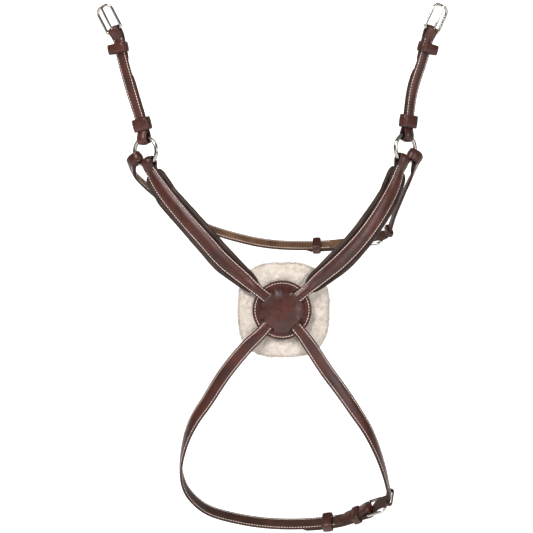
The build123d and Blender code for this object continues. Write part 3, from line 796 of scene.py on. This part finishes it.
STRAP_LEATHERS = [STRAP_GRAIN, EDGE_LEATHER, FLESH_LEATHER, THREAD_CREAM]
JOWL_LEATHERS = [STRAP_GRAIN, EDGE_LEATHER, TAN_FLESH, THREAD_CREAM]


def bored(obj, cutters):
    """Cuts the crew slot and the billet holes, each (place, along, out, size) in millimetres."""
    for place, along, out, (width, length) in cutters:
        hole = Mesh()
        rings = []
        for rise in (-7.0, 7.0):
            ring = []
            for k in range(20):
                angle = math.tau * k / 20
                stretch = max(0.0, (length - width) / 2) * (1 if math.sin(angle) >= 0 else -1)
                ring.append(place + out * rise + out.cross(along) * (math.cos(angle) * width / 2)
                            + along * (math.sin(angle) * width / 2 + stretch))
            rings.append(ring)
        hole.tube(rings, 0, 0)
        cutter = hole.build("cutter", [EDGE_LEATHER])
        modifier = obj.modifiers.new("hole", "BOOLEAN")
        modifier.object = cutter
        modifier.operation = "DIFFERENCE"
        modifier.solver = "EXACT"
        bpy.context.view_layer.objects.active = obj
        with bpy.context.temp_override(object=obj, active_object=obj, selected_objects=[obj]):
            bpy.ops.object.modifier_apply(modifier=modifier.name)
        bpy.data.objects.remove(cutter)


def crew(station, end):
    """The slot where a tongue goes round its bar."""
    place, along, out, _ = station
    return (place + along * (CREW_PLACE * end), along, out, (CREW_WIDTH, CREW_LENGTH))


def cheek_strap(side):
    """A cheek strap with its stitches and both keepers."""
    way = cheeks[side]
    leather = Mesh()
    rows = folded_rows(way, start=(BAR_TURN, CHEEK_BAR_LAP), end=(RING_TURN, CHEEK_RING_LAP))
    frames = strap_mesh(leather, rows, LEATHER, crown=0.9, start_tip=SKIVED_TIP, end_tip=SKIVED_TIP)
    whole = frames[-1][5]
    strap = leather.build("strap_cheek_" + side, STRAP_LEATHERS)
    bored(strap, [crew(way[0], -1)])
    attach(strap, "cheeks")
    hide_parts("cheek_strap_" + side)
    total = reach(way)[-1]
    first = CHEEK_BAR_LAP + math.pi * BAR_TURN
    thread = Mesh()
    stitch_rows(thread, frames, LEATHER / 2 + 0.02, first + 10.0, first + total - SEAM_END)
    stitch_rows(thread, frames, LEATHER / 2 + 0.05, SKIVE_LENGTH, 28.0)
    stitch_rows(thread, frames, LEATHER / 2 + 0.05, whole - CHEEK_RING_LAP + 10.0, whole - SKIVE_LENGTH)
    stitches = thread.build("stitches_cheek_" + side, STRAP_LEATHERS)
    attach(stitches, "cheeks")
    low = -FOLD - LEATHER / 2 - 0.1
    high = FOLD + LEATHER / 2
    slack = OPEN_KEEPER_SIDE * (-1 if side == "left" else 1)
    keeper_mesh("loop_cheek_keeper_upper_" + side, at(way, KEEPER_PLACE), low, high + OPEN_KEEPER_RISE,
                "cheeks", length=10.0, slack=slack)
    keeper_mesh("loop_cheek_keeper_lower_" + side, at(way, -15.5), low - 1.1, high + 2.2, "cheeks", 2.0, 13.0)


def nose_strap(side):
    """The raised band and its two rows of stitches."""
    way = noses[side]
    leather = Mesh()
    frames = strap_mesh(leather, folded_rows(way, end=(RING_TURN, RING_LAP)), LEATHER, crown=1.3,
                        end_tip=(6.0, "skived"))
    total = reach(way)[-1]
    stitch_rows(leather, frames, LEATHER / 2 + 0.02, 8.0, total - 8.0, inset=1.3)
    strap = leather.build("strap_nose_" + side, STRAP_LEATHERS)
    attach(strap, "front")
    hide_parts("nose_strap_" + side)


def nose_lining(side):
    """Padded lining: a soft, full cross section that is pinched along both stitch rows."""
    way = noses[side]
    run = reach(way)
    leather = Mesh()
    rings = []
    steps = 40
    low_side = 1 if way[0][2].cross(way[0][1]).z < 0 else -1
    for station, s in zip(way, run):
        rest = run[-1] - s
        if s < LINING_START or rest < LINING_END:
            continue
        place, along, out, width = station
        side_way = out.cross(along)
        under = mix(FOLD, RING_TURN, 1 - ease(rest / SPREAD_LENGTH)) + LEATHER / 2 + 0.3
        top = mix(under, 0.15, ease((rest - 31.0) / 12.0))
        wide = mix(19.0, LINING_WIDTH + 1.6, ease((s - LINING_START) / 50.0)) / 2
        near_rosette = min(1.0, (s - LINING_START) / 15.0)
        near_ring = min(1.0, (rest - LINING_END) / 11.0)
        wide *= (mix(0.42, 1.0, math.sqrt(1 - (1 - near_rosette) ** 2))
                 * mix(0.5, 1.0, math.sqrt(1 - (1 - near_ring) ** 2)))
        close = min(1.0, 0.4 + near_rosette, 0.4 + near_ring)
        slip = low_side * mix(3.2, 0.4, ease((rest - 12.0) / 70.0))
        ring = []
        for k in range(steps):
            angle = math.tau * k / steps
            c, n = math.cos(angle), math.sin(angle)
            x = wide * math.copysign(abs(c) ** 0.75, c)
            y = LINING_THICK / 2 * math.copysign(abs(n) ** 0.8, n) * close
            seam = math.exp(-((abs(x) - width / 2 + 0.6) / 1.1) ** 2)
            if n > 0:
                y -= seam * (0.9 + 0.35 * math.cos(math.tau * s / STITCH_PITCH))
                if abs(x) > width / 2:
                    roll = (abs(x) - width / 2) / (wide - width / 2 + 0.01)
                    y += 0.75 * math.sin(math.pi * min(1.0, roll))
            ripple = noise.noise(place * 0.16 + Vector((x * 0.2, 0, y))) * 0.28
            flat = place - out * (top + LINING_THICK / 2)
            ring.append(flat + side_way * (x + slip + ripple * 0.6 * c) + out * (y + ripple * 0.5))
        rings.append(ring)
    leather.tube(rings, 0, 0)
    pad = leather.build("lining_" + side, [LINING])
    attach(pad, "front")
    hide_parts("nose_lining_" + side)


def bending_strap(name, leather, leathers, cutters, nodes):
    """Builds a strap, cuts its holes, hides the parts it replaces and bakes its placing into the mesh."""
    strap = leather.build(name, leathers)
    bored(strap, cutters)
    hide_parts(*nodes)
    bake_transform(strap)


def long_strap(name, way, leathers, lap, ring_end):
    """The jowl or chin strap, up to its buckle."""
    start = (RING_TURN, RING_LAP) if ring_end else None
    rows = folded_rows(way, start=start, end=(BAR_TURN, lap))
    leather = Mesh()
    frames = strap_mesh(leather, rows, LEATHER, crown=0.8, start_tip=SKIVED_TIP if ring_end else None,
                        end_tip=(9.0, "skived"))
    total = reach(way)[-1]
    first = RING_LAP + math.pi * RING_TURN + SEAM_END if ring_end else SEAM_END
    main = total + (RING_LAP + math.pi * RING_TURN if ring_end else 0.0)
    thread = Mesh()
    stitch_rows(thread, frames, LEATHER / 2 + 0.02, first, main - SEAM_END)
    stitch_rows(thread, frames, LEATHER / 2 + 0.04, first + (24.0 if ring_end else 30.0), main - 36.0,
                faces=(-1,))
    bending_strap("strap_" + name, leather, leathers, [crew(way[-1], 1)],
                  [name + "_strap", name + "_strap_root"])
    bending_thread("stitches_" + name + "_strap", thread)


def bending_thread(name, thread):
    """Builds the stitches of a long strap and bakes their placing into the mesh."""
    stitches = thread.build(name, STRAP_LEATHERS)
    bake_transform(stitches)


def billet(name, own, strap_way, tail, ring_end):
    """The strap end that goes through the buckle, with its holes."""
    way = billet_stations(own, strap_way, tail)
    leather = Mesh()
    if ring_end:
        rows = layer(way, lambda s, rest: RING_TURN * (1 - ease(s / BILLET_SPREAD)))
        closing = RING_TURN - BILLET - LAYER_GAP
        back = layer(way, lambda s, rest: -RING_TURN + closing * ease(s / BILLET_SPREAD))
        turned = [row for row, s in zip(back, reach(way)) if s <= RING_LAP][::-1]
        rows = turned + turn(way[0], RING_TURN, -1)[::-1] + rows
        first = RING_LAP + math.pi * RING_TURN + SEAM_END
    else:
        rows = layer(way, lambda s, rest: 0.0)
        first = SEAM_END
    frames = strap_mesh(leather, rows, BILLET, crown=0.7, start_tip=SKIVED_TIP if ring_end else None,
                        end_tip=(11.0, "point"))
    end = strap_way[-1]
    stitched = first + reach(lay(own))[-1] - 24.0
    thread = Mesh()
    stitch_rows(thread, frames, BILLET / 2 + 0.02, first, stitched)
    if not ring_end:
        stitch_rows(thread, frames, BILLET / 2 + 0.04, first + 30.0, stitched, faces=(-1,))
    cutters = [(end[0] + end[1] * TONGUE_HOLE_AHEAD, end[1], end[2], (CREW_WIDTH, TONGUE_HOLE_LENGTH))]
    for back_way in (16.0, 34.0):
        place, along, out, _ = at(strap_way, -back_way)
        cutters.append((place + out * (TAIL + 5.6), along, out, (2.8, 2.8)))
    bending_strap("billet_" + name, leather, STRAP_LEATHERS, cutters,
                  [name + "_billet", name + "_billet_root"])
    bending_thread("stitches_" + name + "_billet", thread)


def buckled_keepers(name, strap_way, billet_way, runner_back, runner_play, runner_length):
    """The fixed keeper, the loose runner and the front keeper of one buckle."""
    low = -FOLD - LEATHER / 2
    high = TAIL + BILLET / 2
    keeper_mesh("loop_%s_keeper" % name, at(strap_way, -15.0), low - 0.4, high + 0.7, name)
    keeper_mesh("loop_%s_runner" % name, at(strap_way, -runner_back), low - 0.5, high + 0.6,
                name + "_runner", runner_play, runner_length)
    front = strap_way[-1][0] + strap_way[-1][1] * 34.0
    nearest = min(billet_way, key=lambda station: (station[0] - front).length)
    keeper_mesh("loop_%s_front_keeper" % name, nearest, -BILLET / 2 - 1.0, BILLET / 2 + 1.0, name, 0.9, 5.0)


# ---- rosette ----
SLOT_ANGLES = (40.0, 140.0, 228.0, 312.0)
ROSETTE_AROUND = 192


def from_opening(degrees):
    """Degrees from the nearest opening's middle."""
    return min(abs((degrees - slot + 180) % 360 - 180) for slot in SLOT_ANGLES)


def rosette_rim(leather):
    """The flat, stitched rim, creased along its edge."""
    rim, front, back = ROSETTE_RADIUS, RIM_FRONT, RIM_BACK
    profile = [(16.0, back, FLESH), (rim - 0.5, back, EDGE), (rim, back - 0.5, EDGE),
               (rim, front + 0.7, EDGE), (rim - 0.3, front + 0.15, GRAIN),
               (rim - 0.8, front, GRAIN), (rim - 1.1, front + 0.14, GRAIN),
               (rim - 1.5, front, GRAIN), (RIM_SEAM, front + 0.12, GRAIN),
               (rim - 3.4, front, GRAIN), (22.5, front, GRAIN), (18.0, front, GRAIN),
               (16.0, front + 0.2, GRAIN)]
    rings = []
    for k in range(ROSETTE_AROUND):
        angle = math.tau * k / ROSETTE_AROUND
        rings.append([Vector((math.cos(angle) * r, y, math.sin(angle) * r)) for r, y, _ in profile])
    leather.grid(rings, [mark for _, _, mark in profile], closed_way=True)


def dome_ring(s):
    """One ring of the dome, from its middle at 0 to its edge at 1."""
    ring = []
    for k in range(ROSETTE_AROUND):
        degrees = 360.0 * k / ROSETTE_AROUND
        across_x, across_z = math.cos(math.radians(degrees)), math.sin(math.radians(degrees))
        off = from_opening(degrees)
        fade = OPENING_FADE + 36.0 * (1 - s)
        open_share = 1 - ease((off - OPENING_HALF + 9.0 * (1 - s)) / fade)
        opening = OPENING_RADIUS / max(0.9, math.cos(math.radians(min(off, 25.0))))
        radius = mix(DOME_RADIUS, opening, open_share) * s
        full = -DOME_FRONT + 0.15 * noise.noise(Vector((across_x * s * 2.0, across_z * s * 2.0, 0)))
        closed = full - (full + RIM_FRONT - 0.15) * s ** 3.4
        lifted = full - (full - OPENING_RISE) * s ** 2
        rise = mix(closed, lifted, open_share)
        pucker = 0.05 * math.cos(math.radians(degrees * 24)) * ease((s - 0.45) / 0.5) * (1 - open_share)
        ring.append(Vector((across_x * radius, -(rise + pucker), across_z * radius)))
    return ring


def lip_ring(edge, lip, drop):
    """The dome's edge, rolled over by lip and drop."""
    ring = []
    for k, outer in enumerate(edge):
        flat = Vector((outer.x, 0, outer.z))
        off = from_opening(360.0 * k / ROSETTE_AROUND)
        open_share = 1 - ease((off - OPENING_HALF) / OPENING_FADE)
        depth = drop if open_share > 0.02 else min(drop, 0.6)
        ring.append(flat * (1 + lip / flat.length) + Vector((0, outer.y + depth, 0)))
    return ring


def rosette():
    """A rim, and a domed middle whose edge lifts over each strap."""
    leather = Mesh()
    rosette_rim(leather)
    steps = 26
    rings = [dome_ring(i / steps) for i in range(steps + 1)]
    edge = rings[-1]
    for lip, drop in ((0.25, 0.35), (0.2, 1.0), (-0.3, 1.4), (-3.0, 1.5)):
        rings.append(lip_ring(edge, lip, drop))
    leather.grid(rings, GRAIN)
    count = round(360.0 / math.degrees(STITCH_PITCH / RIM_SEAM))
    for k in range(count):
        angle = math.tau * k / count
        spot = Vector((math.cos(angle), 0, math.sin(angle))) * RIM_SEAM + Vector((0, RIM_FRONT + 0.05, 0))
        stitch(leather, spot, Vector((-math.sin(angle), 0, math.cos(angle))), Vector((0, -1, 0)))
    disc = leather.build("rosette_front", [ROSETTE_GRAIN, EDGE_LEATHER, FLESH_LEATHER, THREAD_CREAM])
    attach(disc, "front")
    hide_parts("rosette")


# ---- sheepskin ----
def outline_radius(angle):
    """Half size of the rounded square in a direction, slightly uneven as cut wool is."""
    c, s = abs(math.cos(angle)), abs(math.sin(angle))
    power = 3.0
    flat = ((c / (PAD_SIZE[0] / 2)) ** power + (s / (PAD_SIZE[1] / 2)) ** power) ** (-1 / power)
    return flat + 0.9 * noise.noise(Vector((math.cos(angle) * 2.2, math.sin(angle) * 2.2, 3.0))) - 0.6


def pressed(x, z):
    """How far the straps and the rosette press the wool down, from 0 to 1."""
    share = 1 - ease((math.hypot(x, z) - 27.5) / 6.0)
    for way, half in PRESSING:
        for place, _, _, width in way:
            gap = math.hypot(place.x - x, place.z - z)
            share = max(share, 1 - ease((gap - width * half) / 4.5))
    return share


def pad_point(angle, s, front):
    """A point of the wool, from the middle at 0 to the rim at 1, and the way its fibres lie."""
    radius = outline_radius(angle) * s
    x, z = math.cos(angle) * radius, math.sin(angle) * radius
    middle = PAD_FRONT + PAD_THICK / 2 + x * x / (2 * NOSE_RADIUS)
    thick = PAD_THICK / 2 * max(0.0, 1 - s ** 5.0) ** 0.5
    crown = 0.0
    if front:
        crown = 1.6 * (1 - pressed(x, z)) * (1 - s ** 4)
    y = middle - thick - crown if front else middle + thick
    curl = noise.noise(Vector((x, y * 0.6, z)) * 0.3) * 0.75 + noise.noise(Vector((x, y, z)) * 0.8) * 0.55
    lift = curl * (0.75 if front else 1.0) * (1 - 0.7 * (pressed(x, z) if front else 0.0))
    face = -1 if front else 1
    direction = Vector((math.cos(angle) * s ** 3, face * (1.05 - s ** 3), math.sin(angle) * s ** 3))
    direction.normalize()
    return Vector((x + PAD_SHIFT, y, z)) + direction * lift, direction


def nose_pad():
    """The sheepskin pad: displaced wool and a short fuzz of fibres."""
    wool = Mesh()
    shares = [math.sin(math.pi / 2 * (k + 0.5) / WOOL_RINGS) ** 0.9 for k in range(WOOL_RINGS)] + [1.0]
    rings = []
    for front, order in ((True, shares), (False, shares[::-1][1:])):
        for s in order:
            rings.append([pad_point(math.tau * k / WOOL_AROUND, s, front)[0] for k in range(WOOL_AROUND)])
    wool.tube(rings, 0, 0)
    chance = random.Random(7)
    for n in range(WOOL_FIBRES):
        angle = chance.random() * math.tau
        s = math.sqrt(chance.random()) if n % 2 else 1 - 0.05 * chance.random()
        front = chance.random() < 0.6
        root, direction = pad_point(angle, s, front)
        if front and pressed(root.x - PAD_SHIFT, root.z) > 0.4:
            continue
        fibre(wool, root, direction, chance)
    pad = wool.build("sheepskin_pad", [WOOL])
    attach(pad, "front")
    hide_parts("nose_pad")


def any_way(chance):
    return Vector((chance.uniform(-1, 1), chance.uniform(-1, 1), chance.uniform(-1, 1)))


def fibre(mesh, root, direction, chance):
    """One short curled wool fibre, a thin tapered ribbon."""
    swirl = any_way(chance)
    heading = (direction + swirl * 0.75).normalized()
    wide = across(swirl, heading) * 0.085
    length = chance.uniform(1.2, 3.2)
    curl = across(any_way(chance), heading)
    base = len(mesh.points)
    for k in range(4):
        share = k / 3
        spot = root - heading * 0.2 + heading * (length * share) + curl * (length * 0.45 * share * share)
        mesh.points.append(spot - wide * (1 - 0.8 * share))
        mesh.points.append(spot + wide * (1 - 0.8 * share))
    for k in range(3):
        a = base + 2 * k
        mesh.faces.append((a, a + 1, a + 3, a + 2))
        mesh.marks.append(0)


# ---- the noseband ----
PRESSING = [(noses["left"], 0.75), (noses["right"], 0.75), (chin_way, 0.5), (chin_billet_way, 0.5)]
PRESSING = [([s for s in way if s[0].length < 75], half) for way, half in PRESSING]

for side in ("left", "right"):
    cheek_strap(side)
    nose_strap(side)
    nose_lining(side)
rosette()
nose_pad()
long_strap("jowl", jowl_way, JOWL_LEATHERS, JOWL_BAR_LAP, True)
billet("jowl", jowls["right"], jowl_way, JOWL_TAIL, True)
long_strap("chin", chin_way, STRAP_LEATHERS, CHIN_BAR_LAP, False)
billet("chin", CHIN_RIGHT, chin_way, CHIN_TAIL, False)
buckled_keepers("jowl", jowl_way, billet_stations(jowls["right"], jowl_way, JOWL_TAIL), 52.0, 0.5, 8.0)
buckled_keepers("chin", chin_way, billet_stations(CHIN_RIGHT, chin_way, CHIN_TAIL), 47.5, 1.2, 10.0)

for name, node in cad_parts.items():
    if "buckle" in name or "tongue" in name or name.startswith("ring_"):
        material = STEEL
    elif name == "rosette_backing":
        material = LINING
    else:
        continue
    for socket in node.material_slots:
        socket.material = material


# ---- studio ----
LIT_PLACE = Vector((0, 0.04, 0.02))
CAMERA_DISTANCE = 2.4
PICTURE_WIDTH = 533       # one unit of it is a millimetre at the rosette


def studio():
    """Soft lights round the noseband, and pale paper that rises behind it."""
    world = bpy.data.worlds.new("studio")
    bpy.context.scene.world = world
    world.use_nodes = True
    sky = world.node_tree.nodes["Background"].inputs
    sky["Color"].default_value = (1.0, 1.0, 1.0, 1.0)
    sky["Strength"].default_value = 0.24
    for name, place, size, power in (("key", (-1.1, -1.7, 1.6), 0.9, 84.0),
                                     ("fill", (1.5, -1.5, 0.5), 1.0, 26.0),
                                     ("low", (-0.5, -1.6, -1.1), 0.7, 24.0)):
        light = bpy.data.lights.new(name, "AREA")
        light.shape = "DISK"
        light.size = size
        light.energy = power
        lamp = bpy.data.objects.new(name, light)
        lamp.location = place
        aim = LIT_PLACE - Vector(place)
        lamp.rotation_euler = aim.to_track_quat("-Z", "Y").to_euler()
        bpy.context.scene.collection.objects.link(lamp)
    bpy.context.scene.view_settings.view_transform = "Standard"
    floor = Mesh()
    rows = [(-3000.0, -420.0), (1500.0, -420.0), (2100.0, -330.0), (2450.0, -60.0), (2600.0, 500.0),
            (2650.0, 3200.0)]
    floor.grid([[Vector((x, y, z)) for x in (-4000.0, 0.0, 4000.0)] for y, z in rows], 0, closed_ring=False)
    paper = Nodes("studio_paper")
    shade = paper.ramp(paper.noise(3.0, 2.0), [(0.3, (0.86, 0.86, 0.86)), (0.7, (0.9, 0.9, 0.9))])
    paper.set(Base_Color=shade, Roughness=0.9, Emission_Color=(1.0, 1.0, 1.0), Emission_Strength=0.55)
    floor.build("floor", [paper.material])


def camera():
    """A long lens straight in front, a little left of and above the rosette."""
    lens = bpy.data.cameras.new("camera")
    lens.lens = lens.sensor_width * CAMERA_DISTANCE / MM / PICTURE_WIDTH
    lens.dof.use_dof = False
    view = bpy.data.objects.new("camera", lens)
    view.location = (-0.0155, -CAMERA_DISTANCE, 0.0435)
    view.rotation_euler = (math.radians(90), 0, 0)
    bpy.context.scene.collection.objects.link(view)
    bpy.context.scene.camera = view


studio()
camera()
